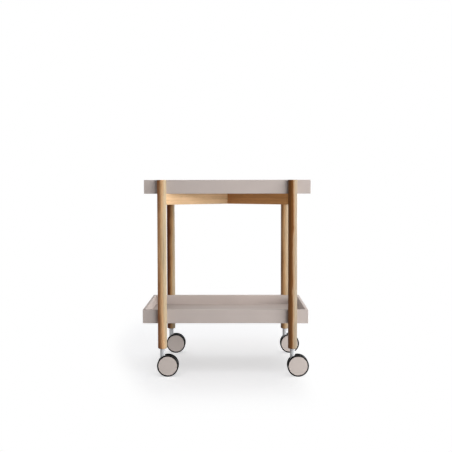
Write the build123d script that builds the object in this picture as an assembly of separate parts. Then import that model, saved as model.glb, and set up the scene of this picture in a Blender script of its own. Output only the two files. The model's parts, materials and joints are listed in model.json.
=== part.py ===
from build123d import *
import os
from math import atan2, degrees, hypot

# A tea trolley: two shallow trays held in notches of four round legs, an X of two
# rails under the upper tray and a twin-wheel swivel caster under each leg.
# Millimetres, +Z up, X along the trays, -Y is the front. The origin lies on the
# floor, in the middle of the overall length and midway between front and back legs.

# Trays, two alike
tray_length = 580.0
tray_width = 390.0
tray_height = 48.0
wall_thickness = 10.0
base_thickness = 12.0
tongue_depth = 4.0
tongue_thickness = 5.0
tongue_gap = 0.1
tray_corner_radius = 1.2
tray_edge_radius = 0.8
upper_rim_height = 686.0
lower_rim_height = 232.0
lower_tray_shift = -7.0

# Legs: distances from the tray's end and from its long side to the leg's axis
leg_diameter = 32.0
leg_inset = 62.5
leg_stand_out = 5.0
leg_top_radius = 1.0
leg_foot_chamfer = 2.0
notch_headroom = 0.2

# Cross rails with a half lap where they meet, their ends scooped to the legs
rail_height = 38.0
rail_thickness = 22.0
rail_edge_radius = 1.0
lap_gap = 0.1
glue_gap = 0.1

# Dowels, two in each rail end, one above the other
dowel_diameter = 8.0
dowel_in_leg = 18.0
dowel_in_rail = 22.0
dowel_spacing = 18.0
dowel_edge = 0.8
dowel_end_room = 1.0

# Screws that hold the upper tray, two in each rail, driven from below
screw_diameter = 4.0
screw_head_diameter = 8.0
screw_head_height = 3.0
screw_head_edge = 1.0
screw_socket_width = 3.0
screw_socket_depth = 1.6
screw_from_centre = 170.0
screw_counterbore_depth = 14.0
screw_counterbore_gap = 0.6
screw_cover = 4.0
screw_tip_room = 0.5

# Casters: threaded sleeve in the leg, stud, thrust washer, clip and housing
stem_show = 22.0
stem_diameter = 17.0
caster_trail = 19.0
insert_diameter = 12.0
insert_length = 26.0
insert_end_room = 1.0
stud_diameter = 8.0
stud_end_room = 2.0
flange_thickness = 2.0
flange_edge = 0.4
washer_diameter = 15.0
washer_thickness = 0.8
pin_length = 38.0
pin_end_room = 1.0
clip_from_pin_end = 3.0
clip_thickness = 1.0
clip_diameter = 10.5
clip_groove_depth = 0.8
clip_side_room = 0.3
clip_round_room = 0.5
yoke_width = 14.0
boss_diameter = 18.0
yoke_edge_radius = 1.2
barrel_edge = 0.6
barrel_foot_edge = 2.0

# Wheels: two on each axle, each a core, a tyre and a flush cap
wheel_diameter = 75.0
wheel_width = 7.7
wheel_side_gap = 0.8
tyre_thickness = 4.5
tyre_edge_radius = 0.6
axle_diameter = 6.0
axle_edge = 0.4
axle_end_room = 0.3
hub_diameter = 14.0
hub_side_gap = 0.3
axle_clip_diameter = 11.0
axle_clip_thickness = 0.8
axle_clip_side_room = 0.2
axle_clip_round_room = 1.0
axle_clip_depth = 1.8
cap_thickness = 2.0
cap_rim_gap = 0.2
cap_edge_radius = 0.5
cap_rib_diameter = 46.0
cap_rib_width = 2.0
cap_rib_depth = 1.5
cap_rib_gap = 0.1
core_recess_inner = 20.0
core_recess_rim = 4.5
core_recess_depth = 2.0
core_rib_count = 6
core_rib_width = 2.4

# Radial clearances: fixed pieces, and pieces that turn
fit_gap = 0.03
running_gap = 0.05
washer_gap = 0.1

# Places worked out from the sizes above
centre_x = -lower_tray_shift / 2
upper_tray_bottom = upper_rim_height - tray_height
lower_tray_bottom = lower_rim_height - tray_height
inner_length = tray_length - 2 * wall_thickness
inner_width = tray_width - 2 * wall_thickness
tongue_bottom = (base_thickness - tongue_thickness) / 2
leg_radius = leg_diameter / 2
leg_x = tray_length / 2 - leg_inset
leg_y = tray_width / 2 + leg_stand_out
leg_bottom = wheel_diameter + stem_show
rail_bottom = upper_tray_bottom - rail_height
rail_middle = rail_bottom + rail_height / 2
rail_half_length = hypot(leg_x, leg_y)
rail_angle = degrees(atan2(leg_y, leg_x))
screw_seat = rail_bottom + screw_counterbore_depth
screw_length = upper_tray_bottom + base_thickness - screw_cover - screw_seat
axle_height = wheel_diameter / 2
stem_radius = stem_diameter / 2
washer_top = leg_bottom - flange_thickness
housing_top = washer_top - washer_thickness - washer_gap
pin_bottom = housing_top - pin_length
clip_bottom = pin_bottom + clip_from_pin_end
wheel_inside = stem_radius + wheel_side_gap
wheel_outside = wheel_inside + wheel_width
cap_seat = wheel_outside - cap_thickness
cap_radius = wheel_diameter / 2 - tyre_thickness
axle_half_length = cap_seat - axle_end_room
axle_clip_seat = cap_seat - axle_clip_depth

# Sides: x -1 is left, y -1 is the front
CORNERS = {
    "front_left": (-1, -1),
    "front_right": (1, -1),
    "back_left": (-1, 1),
    "back_right": (1, 1),
}
UP = (Align.CENTER, Align.CENTER, Align.MIN)


def rod(diameter, bottom, top):
    """An upright round bar between two heights."""
    return Pos(0, 0, bottom) * Cylinder(diameter / 2, top - bottom, align=UP)


def tube(outer_diameter, inner_diameter, bottom, top):
    """An upright round sleeve between two heights."""
    return rod(outer_diameter, bottom, top) - rod(inner_diameter, bottom, top)


def end_edge(solid, end):
    """The round edges at the top (-1) or bottom (0) of an upright solid."""
    return solid.faces().filter_by(GeomType.PLANE).sort_by(Axis.Z)[end].outer_wire().edges()


def leg_place(corner):
    """The point on the floor below a leg."""
    side_x, side_y = CORNERS[corner]
    return Pos(centre_x + side_x * leg_x, side_y * leg_y, 0)


def save(node, *solids):
    """Write one node, a single solid or a group of like solids."""
    shape = solids[0] if len(solids) == 1 else Compound(list(solids))
    export_step(shape, f"parts/{node}.step")


# Trays

def tray_wall_ring():
    """All four walls in one piece, with the groove for the base's tongue."""
    ring = Box(tray_length, tray_width, tray_height, align=UP)
    ring = fillet(ring.edges().filter_by(Axis.Z), tray_corner_radius)
    ring -= Box(inner_length, inner_width, tray_height, align=UP)
    ring = fillet(ring.faces().sort_by(Axis.Z)[-1].edges(), tray_edge_radius)
    ring = fillet(end_edge(ring, 0), tray_edge_radius)
    reach = 2 * (tongue_depth + tongue_gap)
    groove = Box(inner_length + reach, inner_width + reach, tongue_thickness + 2 * tongue_gap, align=UP)
    return ring - Pos(0, 0, tongue_bottom - tongue_gap) * groove


def mitre_wedge(along, across):
    """The part of the plan that belongs to the wall at -Y, cut at 45 degrees at both ends."""
    outer_x = along / 2 + wall_thickness
    outer_y = -across / 2 - wall_thickness
    inner_x = along / 2 - 2 * wall_thickness
    inner_y = -across / 2 + 2 * wall_thickness
    corners = [(-outer_x, outer_y), (outer_x, outer_y), (inner_x, inner_y), (-inner_x, inner_y)]
    return extrude(Polygon(*corners, align=None), tray_height)


def tray_walls():
    """The four mitred walls by name, standing on the plane z = 0."""
    ring = tray_wall_ring()
    long_wedge = mitre_wedge(tray_length, tray_width)
    short_wedge = mitre_wedge(tray_width, tray_length)
    return {
        "front_wall": ring & long_wedge,
        "right_wall": ring & Rot(0, 0, 90) * short_wedge,
        "back_wall": ring & Rot(0, 0, 180) * long_wedge,
        "left_wall": ring & Rot(0, 0, 270) * short_wedge,
    }


def tray_base():
    """The base board with a tongue on all four edges."""
    board = Box(inner_length, inner_width, base_thickness, align=UP)
    tongue = Box(inner_length + 2 * tongue_depth, inner_width + 2 * tongue_depth, tongue_thickness, align=UP)
    return board + Pos(0, 0, tongue_bottom) * tongue


def make_trays():
    walls = tray_walls()
    base = tray_base()
    upper = Pos(centre_x, 0, upper_tray_bottom)
    lower = Pos(centre_x + lower_tray_shift, 0, lower_tray_bottom)
    for name, wall in walls.items():
        save(f"upper_tray_{name}", upper * wall)
        save(f"lower_tray_{name}", lower * wall)
    upper_base = upper * base
    hole_diameter = screw_diameter + 2 * fit_gap
    for place in screw_places():
        hole_top = screw_seat + screw_length + screw_tip_room
        upper_base -= place * rod(hole_diameter, upper_tray_bottom, hole_top)
    save("upper_tray_base", upper_base)
    save("lower_tray_base", lower * base)


# Cross rails, their dowels and the screws into the upper tray

def rail_blank(angle, thickness, height, bottom):
    """A plain bar through the middle, from leg axis to leg axis."""
    bar = Box(2 * rail_half_length, thickness, height, align=UP)
    return Pos(centre_x, 0, bottom) * Rot(0, 0, angle) * bar


def rail_dowel(corner, z, gap=0.0, end_room=0.0):
    """One dowel, or with a gap its hole, along the rail through the leg's side."""
    side_x, side_y = CORNERS[corner]
    leg_axis = Vector(centre_x + side_x * leg_x, side_y * leg_y, z)
    inward = Vector(-side_x * leg_x, -side_y * leg_y, 0).normalized()
    start = leg_axis + inward * (leg_radius - dowel_in_leg - end_room)
    length = dowel_in_leg + dowel_in_rail + 2 * end_room
    return Plane(start, z_dir=inward) * Cylinder(dowel_diameter / 2 + gap, length, align=UP)


def rail_dowels(corner, gap=0.0, end_room=0.0):
    heights = (rail_middle - dowel_spacing / 2, rail_middle + dowel_spacing / 2)
    return [rail_dowel(corner, z, gap, end_room) for z in heights]


def screw_places():
    """Points on the floor below the four screws, two on each rail."""
    turns = (rail_angle, -rail_angle, 180 + rail_angle, 180 - rail_angle)
    return [Pos(centre_x, 0, 0) * Rot(0, 0, turn) * Pos(screw_from_centre, 0, 0) for turn in turns]


def tray_screw():
    """A pan-head screw standing head down, with a hexagon socket."""
    shank = rod(screw_diameter, screw_seat, screw_seat + screw_length)
    head = rod(screw_head_diameter, screw_seat - screw_head_height, screw_seat)
    head = fillet(end_edge(head, 0), screw_head_edge)
    socket = extrude(RegularPolygon(screw_socket_width / 2, 6, major_radius=False), screw_socket_depth)
    return shank + head - Pos(0, 0, screw_seat - screw_head_height) * socket


def make_rail(node, angle, corners, lap_bottom, lap_height):
    """One rail: rounded edges, half lap, scooped ends, dowel holes and screw holes."""
    bar = Box(2 * rail_half_length, rail_thickness, rail_height, align=UP)
    bar = fillet(bar.edges().filter_by(Axis.X), rail_edge_radius)
    rail = Pos(centre_x, 0, rail_bottom) * Rot(0, 0, angle) * bar
    rail -= rail_blank(-angle, rail_thickness + 2 * lap_gap, lap_height, lap_bottom)
    for corner in corners:
        rail -= leg_place(corner) * rod(leg_diameter + 2 * glue_gap, rail_bottom, upper_tray_bottom)
        for hole in rail_dowels(corner, fit_gap, dowel_end_room):
            rail -= hole
    for place in screw_places():
        counterbore_diameter = screw_head_diameter + 2 * screw_counterbore_gap
        rail -= place * rod(screw_diameter + 2 * fit_gap, rail_bottom, upper_tray_bottom)
        rail -= place * rod(counterbore_diameter, rail_bottom, screw_seat)
    save(node, rail)


def make_rails():
    half = (rail_height + lap_gap) / 2
    make_rail("cross_rail_left_to_right", rail_angle, ("front_left", "back_right"), rail_bottom, half)
    upper_half = upper_tray_bottom - half
    make_rail("cross_rail_right_to_left", -rail_angle, ("front_right", "back_left"), upper_half, half)
    dowels = []
    for corner in CORNERS:
        for dowel in rail_dowels(corner):
            rims = dowel.edges().filter_by(GeomType.CIRCLE)
            dowels.append(chamfer(rims, dowel_edge))
    save("rail_dowels", *dowels)
    save("tray_screws", *[place * tray_screw() for place in screw_places()])


# Legs

def notch(side_y, bottom, top):
    """What a leg loses so that a tray's long wall can sit in it."""
    block = Box(2 * leg_diameter, leg_diameter, top - bottom, align=UP)
    return Pos(0, -side_y * (leg_stand_out + leg_radius), bottom) * block


def make_legs():
    for corner, (_, side_y) in CORNERS.items():
        leg = rod(leg_diameter, leg_bottom, upper_rim_height)
        leg = fillet(end_edge(leg, -1), leg_top_radius)
        leg = chamfer(end_edge(leg, 0), leg_foot_chamfer)
        leg -= notch(side_y, upper_tray_bottom, upper_rim_height)
        leg -= notch(side_y, lower_tray_bottom, lower_rim_height + notch_headroom)
        leg -= rod(insert_diameter + 2 * fit_gap, leg_bottom, leg_bottom + insert_length + insert_end_room)
        leg = leg_place(corner) * leg
        for hole in rail_dowels(corner, fit_gap, dowel_end_room):
            leg -= hole
        save(f"{corner}_leg", leg)


# Caster pieces that stay with the leg

def swivel_stud():
    """Shank in the sleeve, flange under the leg, and the pin that the housing turns on."""
    shank = rod(stud_diameter, leg_bottom, leg_bottom + insert_length - stud_end_room)
    flange = rod(stem_diameter, washer_top, leg_bottom)
    flange = chamfer(flange.edges().filter_by(GeomType.CIRCLE), flange_edge)
    pin = rod(stud_diameter, pin_bottom, washer_top)
    groove_inner = stud_diameter - 2 * clip_groove_depth
    groove_outer = stud_diameter + 2 * clip_groove_depth
    groove = tube(groove_outer, groove_inner, clip_bottom, clip_bottom + clip_thickness)
    return shank + flange + pin - groove


def make_leg_hardware():
    hole_diameter = stud_diameter + 2 * fit_gap
    insert = tube(insert_diameter, hole_diameter, leg_bottom, leg_bottom + insert_length)
    washer = tube(washer_diameter, hole_diameter, washer_top - washer_thickness, washer_top)
    clip_bore = stud_diameter - 2 * clip_groove_depth + 2 * fit_gap
    clip = tube(clip_diameter, clip_bore, clip_bottom, clip_bottom + clip_thickness)
    groups = {
        "leg_inserts": insert,
        "swivel_studs": swivel_stud(),
        "thrust_washers": washer,
        "stud_clips": clip,
    }
    for node, piece in groups.items():
        save(node, *[leg_place(corner) * piece for corner in CORNERS])


# Caster pieces that swivel

def swivel_housing():
    """A round barrel on the stud, with a flat yoke that carries the axle behind it."""
    barrel_bottom = axle_height - boss_diameter / 2
    barrel = rod(stem_diameter, barrel_bottom, housing_top)
    barrel = chamfer(end_edge(barrel, -1), barrel_edge)
    barrel = chamfer(end_edge(barrel, 0), barrel_foot_edge)
    outline = Pos(caster_trail / 2, axle_height) * SlotCenterToCenter(caster_trail, boss_diameter)
    yoke = extrude(Plane.XZ * outline, yoke_width / 2, both=True)
    side_faces = yoke.faces().filter_by(Axis.Y)
    yoke = fillet(side_faces.edges(), yoke_edge_radius)
    housing = barrel + yoke
    bore_diameter = stud_diameter + 2 * running_gap
    housing -= rod(bore_diameter, pin_bottom - pin_end_room, housing_top)
    clip_room = clip_diameter + 2 * clip_round_room
    clip_top = clip_bottom + clip_thickness + clip_side_room
    housing -= rod(clip_room, clip_bottom - clip_side_room, clip_top)
    axle_hole = Cylinder(axle_diameter / 2 + fit_gap, yoke_width, rotation=(90, 0, 0))
    return housing - Pos(caster_trail, 0, axle_height) * axle_hole


def axle():
    bar = Cylinder(axle_diameter / 2, 2 * axle_half_length, rotation=(90, 0, 0))
    return chamfer(bar.edges().filter_by(GeomType.CIRCLE), axle_edge)


def axle_clip():
    """A push-on ring on the axle's end, in a pocket of the wheel's core."""
    bottom = axle_clip_seat + axle_clip_side_room
    return tube(axle_clip_diameter, axle_diameter + 2 * fit_gap, bottom, bottom + axle_clip_thickness)


# Wheel pieces, modelled with the axle along Z and the outer face up

def core_recess():
    """The ring-shaped hollow in a core's inside face, with ribs left standing across it."""
    recess_radius = cap_radius - core_recess_rim
    recess_top = wheel_inside + core_recess_depth
    recess = tube(2 * recess_radius, core_recess_inner, wheel_inside, recess_top)
    spoke = Box(recess_radius, core_rib_width, core_recess_depth, align=(Align.MIN, Align.CENTER, Align.MIN))
    for index in range(core_rib_count):
        recess -= Pos(0, 0, wheel_inside) * Rot(0, 0, index * 360 / core_rib_count) * spoke
    return recess


def wheel_core():
    core = rod(2 * (cap_radius - fit_gap), wheel_inside, cap_seat)
    core += rod(hub_diameter, yoke_width / 2 + hub_side_gap, wheel_inside)
    core -= core_recess()
    rib_inner = cap_rib_diameter - 2 * cap_rib_width
    groove_outer = cap_rib_diameter + 2 * cap_rib_gap
    core -= tube(groove_outer, rib_inner - 2 * cap_rib_gap, cap_seat - cap_rib_depth - cap_rib_gap, cap_seat)
    core -= rod(axle_clip_diameter + 2 * axle_clip_round_room, axle_clip_seat, cap_seat)
    return core - rod(axle_diameter + 2 * running_gap, 0, cap_seat)


def wheel_tyre():
    tyre = rod(wheel_diameter, wheel_inside, wheel_outside)
    tyre = fillet(tyre.edges().filter_by(GeomType.CIRCLE), tyre_edge_radius)
    return tyre - rod(2 * cap_radius, wheel_inside, wheel_outside)


def wheel_cap():
    cap = rod(2 * (cap_radius - cap_rim_gap), cap_seat, wheel_outside)
    cap = fillet(end_edge(cap, -1), cap_edge_radius)
    rib_inner = cap_rib_diameter - 2 * cap_rib_width
    return cap + tube(cap_rib_diameter, rib_inner, cap_seat - cap_rib_depth, cap_seat)


def make_casters():
    housing = swivel_housing()
    shaft = axle()
    clip = axle_clip()
    wheel_pieces = {"core": wheel_core(), "tyre": wheel_tyre(), "cap": wheel_cap()}
    for corner, (_, side_y) in CORNERS.items():
        at_leg = leg_place(corner)
        at_axle = at_leg * Pos(caster_trail, 0, axle_height)
        facing = {"outer": at_axle * Rot(-90 * side_y, 0, 0), "inner": at_axle * Rot(90 * side_y, 0, 0)}
        save(f"{corner}_swivel_housing", at_leg * housing)
        save(f"{corner}_axle", at_axle * shaft)
        save(f"{corner}_axle_clips", *[place * clip for place in facing.values()])
        for side, place in facing.items():
            for name, piece in wheel_pieces.items():
                save(f"{corner}_{side}_{name}", place * piece)


os.makedirs("parts", exist_ok=True)
make_trays()
make_rails()
make_legs()
make_leg_hardware()
make_casters()
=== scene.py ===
import json
import math

import bpy
from mathutils import Matrix, Vector


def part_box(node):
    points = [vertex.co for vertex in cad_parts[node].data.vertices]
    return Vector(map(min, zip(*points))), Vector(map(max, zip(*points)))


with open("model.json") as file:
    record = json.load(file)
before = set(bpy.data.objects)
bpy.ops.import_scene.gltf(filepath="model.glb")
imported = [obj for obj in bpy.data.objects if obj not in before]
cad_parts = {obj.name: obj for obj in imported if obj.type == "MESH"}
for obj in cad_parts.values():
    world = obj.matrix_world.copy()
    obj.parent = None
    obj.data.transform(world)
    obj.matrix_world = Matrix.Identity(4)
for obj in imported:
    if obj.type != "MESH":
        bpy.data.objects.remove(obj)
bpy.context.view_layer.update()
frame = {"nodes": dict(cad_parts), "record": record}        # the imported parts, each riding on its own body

# Camera: place in metres, angles in radians, focal length in pixels of a 452 by 452 picture
IMAGE_SIZE = 452
SENSOR_WIDTH = 36.0
FOCAL_PIXELS = 776.9
CAMERA_PLACE = (0.0190, -2.8992, 0.6499)
CAMERA_YAW = -0.00739
CAMERA_PITCH = 0.04597
CAMERA_ROLL = -0.00159

# Finishes, linear colours
LACQUER_COLOUR = (0.470, 0.409, 0.380)
CAP_COLOUR = (0.53, 0.467, 0.432)
OAK_PORE = (0.14, 0.065, 0.025)
BEECH_COLOUR = (0.62, 0.45, 0.29)
STEM_COLOUR = (0.52, 0.525, 0.54)
STEEL_COLOUR = (0.55, 0.55, 0.54)
NYLON_COLOUR = (0.74, 0.74, 0.71)
PLASTIC_COLOUR = (0.022, 0.022, 0.023)
TYRE_COLOUR = (0.003, 0.003, 0.0035)
# Most grey values of a noise texture lie between these two
NOISE_LOW = 0.3
NOISE_HIGH = 0.7

# Oak: growth rings and the distance of the tree's centre in metres, and the early wood's part of a ring
RING_WIDTH = 0.0030
RING_WANDER = 0.0060
PITH_DISTANCE = 0.055
EARLY_WOOD_PART = 0.55
# Waves per metre, twice across the grain and once along it
WANDER_WAVES = (16.0, 16.0, 1.8)
BORDER_WAVES = (30.0, 30.0, 11.0)
PATCH_WAVES = (48.0, 48.0, 9.0)
STREAK_WAVES = (170.0, 170.0, 3.2)
FIBRE_WAVES = (620.0, 620.0, 9.0)
PORE_WAVES = (1500.0, 1500.0, 42.0)
# How much each gives to the tone of the grain, and what that tone multiplies the colour by
PATCH_SHARE = 0.40
STREAK_SHARE = 0.36
FIBRE_SHARE = 0.24
EARLY_WOOD_SHARE = -0.05
GRAIN_TONES = [(0.30, (0.70, 0.66, 0.60)), (0.44, (0.95, 0.95, 0.95)), (0.58, (1.12, 1.14, 1.18))]
# Pores: the noise values at which one starts and is full, its share in the late wood, and how dark it gets
PORE_START = 0.56
PORE_FULL = 0.66
LATE_WOOD_PORES = 0.25
PORE_DARKNESS = 0.55
# The height of a fibre as a share of a pore's depth, and of the lacquer's grit as a share of its orange peel
FIBRE_RELIEF = 0.5
GRIT_RELIEF = 0.25
# Each oak piece from its pale to its dark side: where the pale, middle and dark zones lie, in half widths
# from its middle towards the side given next, and their colours. The dark zone is painted shade on the side
# turned from the lamps and the pale zone partly painted sheen, over the wood's real heart and sapwood tone.
# The side that takes the painted shade: the left, away from the lamps
PAINTED_SHADE_SIDE = (-1.0, -0.25, 0.0)
OAK_LEGS = {
    "front_left_leg": [
        (-0.20, (0.40, 0.31, 0.193)), (0.45, (0.565, 0.332, 0.164)), (1.15, (0.19, 0.064, 0.013))],
    "front_right_leg": [
        (-0.28, (0.296, 0.235, 0.161)), (0.05, (0.412, 0.265, 0.146)), (0.34, (0.170, 0.061, 0.011))],
    "back_left_leg": [
        (-0.45, (0.362, 0.278, 0.167)), (-0.08, (0.38, 0.215, 0.088)), (0.55, (0.074, 0.015, 0.001))],
    "back_right_leg": [
        (-0.10, (0.353, 0.261, 0.159)), (0.50, (0.43, 0.245, 0.112)), (1.10, (0.155, 0.060, 0.015))],
}
# Each rail is even in tone, the left-to-right one a lighter copy with painted light and the right-to-left
# one a darker copy with painted shade: for them a half width counts as this many times their extent in X
RAIL_REACH = 4.0
OAK_RAILS = {
    "cross_rail_left_to_right": [
        (-2.0, (0.71, 0.49, 0.30)), (0.0, (0.65, 0.428, 0.236)), (2.0, (0.46, 0.255, 0.115))],
    "cross_rail_right_to_left": [
        (-2.0, (0.60, 0.32, 0.13)), (0.0, (0.54, 0.25, 0.090)), (2.0, (0.36, 0.14, 0.038))],
}
# The colour ramp over the zones: its middle, and how much of it one half width takes
ZONE_MIDDLE = 0.5
ZONE_SCALE = 0.25
# How far the zones' borders wander, in half widths
BORDER_WANDER = 0.8
# How far the painted shade's border reaches over at each part of the length, from 0 at the foot to 1 at the
# top
PAINTED_SHADE_DRIFT = {
    "front_left_leg": [(0.0, 0.40), (0.14, 0.35), (0.24, 0.08), (0.62, -0.05), (0.80, 0.05), (0.92, 0.30)],
    "front_right_leg": [(0.0, -0.12), (0.30, -0.10), (0.50, -0.04), (0.80, 0.0), (0.92, 0.08)],
    "back_left_leg": [(0.30, -0.12), (0.55, 0.0), (0.85, 0.12)],
}
NO_DRIFT = [(0.0, 0.0), (1.0, 0.0)]
# The back of a leg is of the middle colour: where that starts and is full, in half widths behind its middle
EVEN_START = 0.05
EVEN_FULL = 0.65
# Each piece is cut from another place: the angle of the tree's centre and the shift of the noise, per piece
FIRST_PITH_ANGLE = 0.9
PITH_ANGLE_STEP = 2.1
NOISE_SHIFT = (3.7, 2.59, 4.81)

# Studio: floor and ambient light
FLOOR_COLOUR = (0.79, 0.80, 0.825)
FLOOR_HALF_SIZE = 12.0
FLOOR_GLOW = 0.56
# Where the floor turns white on each side: direction, start and end in metres from the middle
FLOOR_FADES = {
    "right": ((1.0, 0.0, 0.0), 0.21, 0.30),
    "left": ((-1.0, 0.0, 0.0), 0.39, 0.53),
    "front_left": ((-0.96, -0.27, 0.0), 0.32, 0.43),
    "front": ((0.0, -1.0, 0.0), 0.28, 0.72),
    "back": ((0.0, 1.0, 0.0), 0.70, 1.30),
}
AMBIENT_STRENGTH = 0.17
# Dark upright panels out of the camera's sight, which the gloss on the object mirrors: the two ends on the
# floor and the height, in metres
FLAG_COLOUR = (0.03, 0.03, 0.03)
FLAGS = {
    "flag_left": ((-1.25, -1.9), (-1.25, 1.1), 1.6),
    "flag_front": ((-2.5, -4.4), (2.0, -4.4), 2.4),
}
# Softboxes: place, point they face, width and height in metres, power in watts, and what they light:
# the object, only its matt light or only its highlights, or the floor
OBJECT_MIDDLE = (0.0, 0.0, 0.40)
FLOOR_MIDDLE = (0.05, 0.0, 0.0)
SOFTBOXES = {
    "key": ((3.40, -1.40, 0.90), OBJECT_MIDDLE, 1.8, 1.2, 44.0, "object_matt"),
    "key_high": ((2.20, -0.60, 2.00), OBJECT_MIDDLE, 1.6, 1.4, 55.0, "object"),
    "front_right": ((3.00, -3.20, 0.80), OBJECT_MIDDLE, 1.8, 1.8, 104.0, "object_matt"),
    "front_high": ((2.20, -2.60, 2.00), OBJECT_MIDDLE, 1.8, 1.6, 10.0, "object_matt"),
    "front_near": ((0.90, -1.90, 0.50), OBJECT_MIDDLE, 0.8, 0.6, 6.0, "object_matt"),
    "left_side": ((-1.10, -0.20, 0.50), OBJECT_MIDDLE, 0.6, 0.6, 5.5, "object_matt"),
    "back_left": ((-1.10, 1.50, 1.20), OBJECT_MIDDLE, 1.0, 1.0, 3.0, "object_matt"),
    "back": ((0.70, 3.60, 1.00), OBJECT_MIDDLE, 2.0, 1.4, 75.0, "object_matt"),
    "back_right": ((1.80, 2.20, 0.90), OBJECT_MIDDLE, 1.4, 1.2, 56.0, "object_gloss"),
    "top_front": ((0.05, -2.20, 3.20), FLOOR_MIDDLE, 5.0, 3.0, 38.0, "floor"),
    "top_back": ((0.05, 2.20, 3.20), FLOOR_MIDDLE, 5.0, 3.0, 34.0, "floor"),
    "top_left": ((-1.80, 0.00, 3.20), FLOOR_MIDDLE, 3.6, 3.6, 22.0, "floor"),
}

# Sockets of a Mix node that mixes colours
MIX_FACTOR = 0
MIX_FIRST = 6
MIX_SECOND = 7
MIX_RESULT = 2


# Node helpers

def set_input(tree, node, key, value):
    """Link a socket to a node's input, or set the input to a constant."""
    if isinstance(value, bpy.types.NodeSocket):
        tree.links.new(value, node.inputs[key])
    else:
        node.inputs[key].default_value = value


def add_node(tree, kind, inputs=None, **settings):
    """Add a node, set its options, and set or link its inputs by name or number."""
    node = tree.nodes.new(kind)
    for name, value in settings.items():
        setattr(node, name, value)
    for key, value in (inputs or {}).items():
        set_input(tree, node, key, value)
    return node


def calculate(tree, operation, *values):
    """The output of a Math node."""
    return add_node(tree, "ShaderNodeMath", dict(enumerate(values)), operation=operation).outputs[0]


def vector_maths(tree, operation, first, second):
    """The output of a Vector Math node: a number for a dot product or a distance, and else a vector."""
    node = add_node(tree, "ShaderNodeVectorMath", {0: first, 1: second}, operation=operation)
    return node.outputs["Value" if operation in ("DOT_PRODUCT", "DISTANCE") else "Vector"]


def noise(tree, vector, detail=2.0, roughness=0.5, scale=1.0):
    """The grey value of a noise texture."""
    inputs = {"Vector": vector, "Scale": scale, "Detail": detail, "Roughness": roughness}
    return add_node(tree, "ShaderNodeTexNoise", inputs).outputs["Fac"]


def stretched_noise(tree, vector, waves, detail=2.0, roughness=0.5):
    """The grey value of a noise texture with its own number of waves per metre on each axis."""
    return noise(tree, vector_maths(tree, "MULTIPLY", vector, waves), detail, roughness)


def remap(tree, value, low, high, to_low=0.0, to_high=1.0):
    """A smooth step of value from low to high, put between two other numbers."""
    inputs = {"Value": value, "From Min": low, "From Max": high, "To Min": to_low, "To Max": to_high}
    return add_node(tree, "ShaderNodeMapRange", inputs, interpolation_type="SMOOTHSTEP").outputs["Result"]


def mix_colour(tree, factor, first, second, blend="MIX"):
    """The colour output of a Mix node."""
    node = add_node(tree, "ShaderNodeMix", data_type="RGBA", blend_type=blend)
    for index, value in ((MIX_FACTOR, factor), (MIX_FIRST, first), (MIX_SECOND, second)):
        set_input(tree, node, index, (*value, 1.0) if isinstance(value, tuple) else value)
    return node.outputs[MIX_RESULT]


def ramp(tree, value, stops):
    """A colour ramp through (position, colour) stops."""
    node = add_node(tree, "ShaderNodeValToRGB", {"Fac": value})
    elements = node.color_ramp.elements
    while len(elements) < len(stops):
        elements.new(0.5)
    for element, (position, colour) in zip(elements, stops):
        element.position = position
        element.color = (*colour, 1.0)
    return node.outputs["Color"]


def shade(colour, factor):
    """A colour made lighter or darker."""
    return tuple(channel * factor for channel in colour)


def shaded_ramp(tree, value, base, darkest, lightest, low=NOISE_LOW, high=NOISE_HIGH):
    """A base colour that runs from one multiple of itself to another as value goes from low to high."""
    return ramp(tree, value, [(low, shade(base, darkest)), (high, shade(base, lightest))])


def new_tree(name):
    """A material with an empty node tree."""
    material = bpy.data.materials.new(name)
    material.use_nodes = True
    material.node_tree.nodes.clear()
    return material, material.node_tree


def object_coordinates(tree):
    """The place on the object, in metres."""
    return add_node(tree, "ShaderNodeTexCoord").outputs["Object"]


def finish_surface(tree, colour, roughness, height, bump, bump_depth=0.0002, **constants):
    """A Principled surface with a bump, joined to the output."""
    shader = add_node(tree, "ShaderNodeBsdfPrincipled", {"Base Color": colour, "Roughness": roughness})
    for name, value in constants.items():
        shader.inputs[name.replace("_", " ")].default_value = value
    inputs = {"Height": height, "Strength": bump, "Distance": bump_depth}
    tree.links.new(add_node(tree, "ShaderNodeBump", inputs).outputs["Normal"], shader.inputs["Normal"])
    add_node(tree, "ShaderNodeOutputMaterial", {"Surface": shader.outputs["BSDF"]})


# Oak

def grain_coordinates(tree, offset, grain):
    """Two distances across the grain and one along it, in metres from the piece's centre."""
    grain = Vector(grain).normalized()
    helper = Vector((0, 0, 1)) if abs(grain.z) < 0.5 else Vector((1, 0, 0))
    across = grain.cross(helper).normalized()
    third = grain.cross(across)
    parts = [vector_maths(tree, "DOT_PRODUCT", offset, tuple(axis)) for axis in (across, third, grain)]
    return add_node(tree, "ShaderNodeCombineXYZ", dict(enumerate(parts))).outputs[0]


def early_wood_of_rings(tree, place, seeded, pith_angle):
    """1 where a growth ring starts, down to 0 in its late wood. The rings' centre wanders."""
    wander = stretched_noise(tree, seeded, WANDER_WAVES)
    pith = (PITH_DISTANCE * math.cos(pith_angle), PITH_DISTANCE * math.sin(pith_angle), 0.0)
    across_grain = vector_maths(tree, "MULTIPLY", place, (1.0, 1.0, 0.0))
    distance = vector_maths(tree, "DISTANCE", across_grain, pith)
    ring_place = calculate(tree, "MULTIPLY_ADD", wander, RING_WANDER, distance)
    ring = calculate(tree, "FRACT", calculate(tree, "DIVIDE", ring_place, RING_WIDTH))
    return calculate(tree, "SUBTRACT", 1.0, remap(tree, ring, 0.0, EARLY_WOOD_PART))


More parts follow.
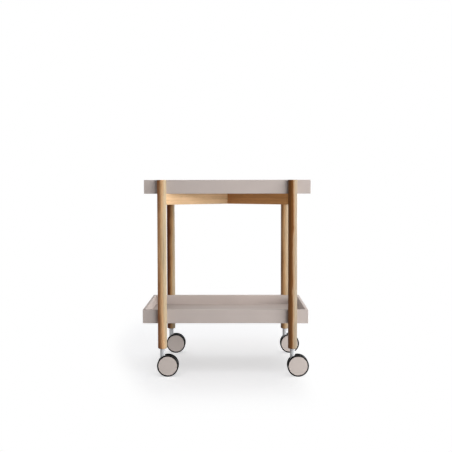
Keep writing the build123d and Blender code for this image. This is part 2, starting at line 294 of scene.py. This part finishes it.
def grain_tone(tree, seeded, fibre, early_wood):
    """Streaks and patches of tone, from broad to fine, all long in the direction of the grain."""
    patches = stretched_noise(tree, seeded, PATCH_WAVES, detail=3.0, roughness=0.55)
    streaks = stretched_noise(tree, seeded, STREAK_WAVES, detail=3.0, roughness=0.6)
    level = calculate(tree, "MULTIPLY", streaks, STREAK_SHARE)
    for value, share in ((patches, PATCH_SHARE), (fibre, FIBRE_SHARE), (early_wood, EARLY_WOOD_SHARE)):
        level = calculate(tree, "MULTIPLY_ADD", value, share, level)
    return ramp(tree, level, GRAIN_TONES)


def painted_light_zones(tree, offset, place, seeded, length, reach, zones, drift):
    """The zones' colours, with wavy borders that drift along the piece: painted shade on the dark side and
    partly painted sheen on the pale side.
    """
    towards_painted_shade = Vector(PAINTED_SHADE_SIDE).normalized() / reach
    depth = vector_maths(tree, "DOT_PRODUCT", offset, tuple(towards_painted_shade))
    border = stretched_noise(tree, seeded, BORDER_WAVES, detail=3.0, roughness=0.6)
    depth = calculate(tree, "MULTIPLY_ADD", calculate(tree, "SUBTRACT", border, 0.5), BORDER_WANDER, depth)
    # The drift, from -1 to 1, is held in a ramp as a grey from 0 to 1
    along = add_node(tree, "ShaderNodeSeparateXYZ", {0: place}).outputs["Z"]
    part_of_length = calculate(tree, "MULTIPLY_ADD", along, 1.0 / length, 0.5)
    drift_grey = ramp(tree, part_of_length, [(part, (0.5 + shift / 2,) * 3) for part, shift in drift])
    depth = calculate(tree, "MULTIPLY_ADD", calculate(tree, "SUBTRACT", drift_grey, 0.5), 2.0, depth)
    # The back takes the middle zone's colour
    backward = add_node(tree, "ShaderNodeSeparateXYZ", {0: offset}).outputs["Y"]
    even = remap(tree, calculate(tree, "DIVIDE", backward, reach), EVEN_START, EVEN_FULL)
    middle = zones[1][0]
    depth = calculate(tree, "MULTIPLY_ADD", even, calculate(tree, "SUBTRACT", middle, depth), depth)
    position = calculate(tree, "MULTIPLY_ADD", depth, ZONE_SCALE, ZONE_MIDDLE)
    return ramp(tree, position, [(ZONE_MIDDLE + ZONE_SCALE * zone, tone) for zone, tone in zones])


def oak(name, centre, grain, length, reach, zones, drift, index):
    """Oiled oak: growth rings, fibres and pores along the grain, and heart and sapwood tone with painted
    shade on the dark side and painted sheen on the pale side.
    """
    material, tree = new_tree(name)
    offset = vector_maths(tree, "SUBTRACT", object_coordinates(tree), tuple(centre))
    place = grain_coordinates(tree, offset, grain)
    seeded = vector_maths(tree, "ADD", place, tuple(shift * index for shift in NOISE_SHIFT))
    early_wood = early_wood_of_rings(tree, place, seeded, FIRST_PITH_ANGLE + PITH_ANGLE_STEP * index)
    fibre = stretched_noise(tree, seeded, FIBRE_WAVES, detail=4.0, roughness=0.6)
    colour = painted_light_zones(tree, offset, place, seeded, length, reach, zones, drift)
    colour = mix_colour(tree, 1.0, colour, grain_tone(tree, seeded, fibre, early_wood), blend="MULTIPLY")

    # Pores: short dark dashes, most of them in the early wood
    dashes = stretched_noise(tree, seeded, PORE_WAVES, detail=1.0)
    in_ring = remap(tree, early_wood, low=0.1, high=0.8, to_low=LATE_WOOD_PORES)
    pore = calculate(tree, "MULTIPLY", remap(tree, dashes, PORE_START, PORE_FULL), in_ring)
    colour = mix_colour(tree, calculate(tree, "MULTIPLY", pore, PORE_DARKNESS), colour, OAK_PORE)
    roughness = remap(tree, fibre, NOISE_LOW, NOISE_HIGH, to_low=0.42, to_high=0.54)
    height = calculate(tree, "SUBTRACT", calculate(tree, "MULTIPLY", fibre, FIBRE_RELIEF), pore)
    finish_surface(tree, colour, roughness, height, bump=0.25, Specular_IOR_Level=0.35)
    return material


def oak_pieces():
    """One oak material for each leg and rail, with the grain along the piece."""
    made = {}
    for index, (node, zones) in enumerate({**OAK_LEGS, **OAK_RAILS}.items()):
        low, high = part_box(node)
        size = high - low
        grain = (0, 0, 1)
        length = size.z
        reach = size.x / 2
        if node in OAK_RAILS:
            grain = (size.x, size.y if node.endswith("left_to_right") else -size.y, 0)
            length = math.hypot(size.x, size.y)
            reach = RAIL_REACH * size.x
        drift = PAINTED_SHADE_DRIFT.get(node, NO_DRIFT)
        made[node] = oak(f"oak_{node}", (low + high) / 2, grain, length, reach, zones, drift, index)
    return made


# Other materials

def lacquer(name, base):
    """Matt sprayed lacquer: a hint of mottling and fine orange peel."""
    material, tree = new_tree(name)
    place = object_coordinates(tree)
    mottling = noise(tree, place, detail=3.0, scale=14.0)
    colour = shaded_ramp(tree, mottling, base, darkest=0.97, lightest=1.03)
    peel = noise(tree, place, detail=1.0, scale=420.0)
    grit = noise(tree, place, detail=2.0, scale=2600.0)
    roughness = remap(tree, grit, NOISE_LOW, NOISE_HIGH, to_low=0.52, to_high=0.62)
    height = calculate(tree, "MULTIPLY_ADD", grit, GRIT_RELIEF, peel)
    finish_surface(tree, colour, roughness, height, bump=0.10, bump_depth=0.0003, Specular_IOR_Level=0.42)
    return material


def plain_wood(name, base):
    """Beech for the hidden dowels: short flecks on an even ground."""
    material, tree = new_tree(name)
    flecks = stretched_noise(tree, object_coordinates(tree), waves=(300.0, 300.0, 60.0), detail=3.0)
    colour = shaded_ramp(tree, flecks, base, darkest=0.85, lightest=1.08, low=0.35, high=0.65)
    finish_surface(tree, colour, roughness=0.6, height=flecks, bump=0.1)
    return material


def metal(name, base, low_rough, high_rough, waves, metallic=1.0, specular=0.5):
    """Satin metal, bare or coated, with fine turned or blasted streaks in its gloss."""
    material, tree = new_tree(name)
    place = object_coordinates(tree)
    streaks = stretched_noise(tree, place, waves, detail=3.0, roughness=0.6)
    cloud = noise(tree, place, detail=2.0, scale=90.0)
    colour = shaded_ramp(tree, cloud, base, darkest=0.94, lightest=1.04)
    roughness = remap(tree, streaks, low=0.25, high=0.75, to_low=low_rough, to_high=high_rough)
    finish_surface(
        tree, colour, roughness, streaks, bump=0.06, bump_depth=0.0001,
        Metallic=metallic, Specular_IOR_Level=specular,
    )
    return material


def plastic(name, base, low_rough, high_rough, grain_scale, bump, specular=0.5):
    """Moulded plastic or rubber with a fine grain and a faint bloom."""
    material, tree = new_tree(name)
    place = object_coordinates(tree)
    grain = noise(tree, place, detail=2.0, scale=grain_scale)
    bloom = noise(tree, place, detail=3.0, scale=60.0)
    colour = shaded_ramp(tree, bloom, base, darkest=0.85, lightest=1.25)
    roughness = remap(tree, bloom, NOISE_LOW, NOISE_HIGH, low_rough, high_rough)
    finish_surface(tree, colour, roughness, grain, bump, Specular_IOR_Level=specular)
    return material


def slot_materials():
    """The material of each slot but oak."""
    return {
        "tray_lacquer": lacquer("tray_lacquer", LACQUER_COLOUR),
        "cap_lacquer": lacquer("cap_lacquer", CAP_COLOUR),
        "beech": plain_wood("beech", BEECH_COLOUR),
        "stem_metal": metal(
            "stem_metal", STEM_COLOUR, low_rough=0.42, high_rough=0.52, waves=(60.0, 60.0, 1500.0),
            metallic=0.0, specular=0.2),
        "fixing_steel": metal(
            "fixing_steel", STEEL_COLOUR, low_rough=0.28, high_rough=0.45, waves=(500.0, 500.0, 500.0)),
        "nylon": plastic(
            "nylon", NYLON_COLOUR, low_rough=0.45, high_rough=0.55, grain_scale=1500.0, bump=0.05),
        "core_plastic": plastic(
            "core_plastic", PLASTIC_COLOUR, low_rough=0.45, high_rough=0.60, grain_scale=2500.0, bump=0.15),
        "tyre_black": plastic(
            "tyre_black", TYRE_COLOUR, low_rough=0.42, high_rough=0.52, grain_scale=1800.0, bump=0.06,
            specular=0.06),
    }


def dress_parts():
    """Give every CAD part its own oak, or the material of its slot."""
    by_slot = slot_materials()
    by_node = oak_pieces()
    for part in frame["record"]["subparts"]:
        node = part["node"]
        materials = frame["nodes"][node].data.materials
        materials.clear()
        materials.append(by_node.get(node) or by_slot[part["material_slot"]])


# Studio

def seen_directly(tree):
    """1 for rays from the camera, a mirror or glass, which see the white background."""
    path = add_node(tree, "ShaderNodeLightPath").outputs
    mirror = calculate(tree, "MAXIMUM", path["Is Glossy Ray"], path["Is Transmission Ray"])
    return calculate(tree, "MAXIMUM", path["Is Camera Ray"], mirror)


def mix_shaders(tree, factor, first, second):
    """The first node's shader where factor is 0, and the second's where it is 1."""
    inputs = {0: factor, 1: first.outputs[0], 2: second.outputs[0]}
    return add_node(tree, "ShaderNodeMixShader", inputs).outputs[0]


def make_world():
    """White to look at, and a weak even light on the object."""
    world = bpy.data.worlds.new("studio")
    bpy.context.scene.world = world
    world.use_nodes = True
    tree = world.node_tree
    tree.nodes.clear()
    ambient = add_node(tree, "ShaderNodeBackground", {"Color": (1, 1, 1, 1), "Strength": AMBIENT_STRENGTH})
    white = add_node(tree, "ShaderNodeBackground", {"Color": (1, 1, 1, 1), "Strength": 1.0})
    choice = mix_shaders(tree, seen_directly(tree), ambient, white)
    add_node(tree, "ShaderNodeOutputWorld", {"Surface": choice})


def make_panel(name, corners, material):
    """A flat object with four corners."""
    mesh = bpy.data.meshes.new(name)
    mesh.from_pydata(corners, [], [(0, 1, 2, 3)])
    mesh.materials.append(material)
    panel = bpy.data.objects.new(name, mesh)
    bpy.context.scene.collection.objects.link(panel)
    return panel


def make_floor():
    """A pale floor that keeps the soft shadow near the object and fades to white further out."""
    material, tree = new_tree("floor")
    matt = add_node(tree, "ShaderNodeBsdfDiffuse", {"Color": (*FLOOR_COLOUR, 1.0)})
    seen = seen_directly(tree)
    glow = add_node(tree, "ShaderNodeEmission", {"Strength": calculate(tree, "MULTIPLY", seen, FLOOR_GLOW)})
    near = add_node(tree, "ShaderNodeAddShader", {0: matt.outputs[0], 1: glow.outputs[0]})
    place = object_coordinates(tree)
    kept = seen
    for direction, start, end in FLOOR_FADES.values():
        outward = vector_maths(tree, "DOT_PRODUCT", place, direction)
        kept = calculate(tree, "MULTIPLY", kept, remap(tree, outward, start, end, 1.0, 0.0))
    fade = calculate(tree, "SUBTRACT", seen, kept)
    white = add_node(tree, "ShaderNodeEmission", {"Strength": 1.0})
    add_node(tree, "ShaderNodeOutputMaterial", {"Surface": mix_shaders(tree, fade, near, white)})
    half = FLOOR_HALF_SIZE
    corners = [(-half, -half, 0), (half, -half, 0), (half, half, 0), (-half, half, 0)]
    floor = make_panel("floor", corners, material)
    return floor


def make_flags():
    """Matt dark panels beside the object and behind the camera."""
    material, tree = new_tree("flag")
    matt = add_node(tree, "ShaderNodeBsdfDiffuse", {"Color": (*FLAG_COLOUR, 1.0)})
    add_node(tree, "ShaderNodeOutputMaterial", {"Surface": matt.outputs[0]})
    for name, (start, end, height) in FLAGS.items():
        corners = [(*start, 0.0), (*end, 0.0), (*end, height), (*start, height)]
        flag = make_panel(name, corners, material)
        flag.visible_camera = False


def make_light_group(floor, state):
    """What a lamp lights: all but the floor, or the floor alone."""
    group = bpy.data.collections.new(f"floor_{state.lower()}")
    group.objects.link(floor)
    group.collection_objects[0].light_linking.link_state = state
    return group


def make_softboxes(floor):
    """Soft lamps: those for the object don't reach the floor, and those overhead light only the floor."""
    object_group = make_light_group(floor, "EXCLUDE")
    floor_group = make_light_group(floor, "INCLUDE")
    for name, (place, target, width, height, power, lit) in SOFTBOXES.items():
        data = bpy.data.lights.new(name, "AREA")
        data.shape = "RECTANGLE"
        data.size = width
        data.size_y = height
        data.energy = power
        lamp = bpy.data.objects.new(name, data)
        lamp.location = place
        lamp.rotation_euler = (Vector(target) - Vector(place)).to_track_quat("-Z", "Y").to_euler()
        bpy.context.scene.collection.objects.link(lamp)
        lamp.visible_camera = False
        lamp.visible_glossy = lit != "object_matt"
        lamp.visible_diffuse = lit != "object_gloss"
        lamp.light_linking.receiver_collection = floor_group if lit == "floor" else object_group


def make_camera():
    """The photograph's view."""
    data = bpy.data.cameras.new("camera")
    data.sensor_width = SENSOR_WIDTH
    data.lens = FOCAL_PIXELS / IMAGE_SIZE * SENSOR_WIDTH
    camera = bpy.data.objects.new("camera", data)
    bpy.context.scene.collection.objects.link(camera)
    level = math.cos(CAMERA_PITCH)
    forward = Vector((math.sin(CAMERA_YAW) * level, math.cos(CAMERA_YAW) * level, -math.sin(CAMERA_PITCH)))
    right = Vector((math.cos(CAMERA_YAW), -math.sin(CAMERA_YAW), 0.0))
    up = right.cross(forward)
    rolled_right = right * math.cos(CAMERA_ROLL) + up * math.sin(CAMERA_ROLL)
    rolled_up = rolled_right.cross(forward)
    turn = Matrix((rolled_right, rolled_up, -forward)).transposed()
    camera.matrix_world = Matrix.Translation(CAMERA_PLACE) @ turn.to_4x4()
    bpy.context.scene.camera = camera


dress_parts()
make_world()
make_flags()
make_softboxes(make_floor())
make_camera()
bpy.context.scene.view_settings.view_transform = "Standard"
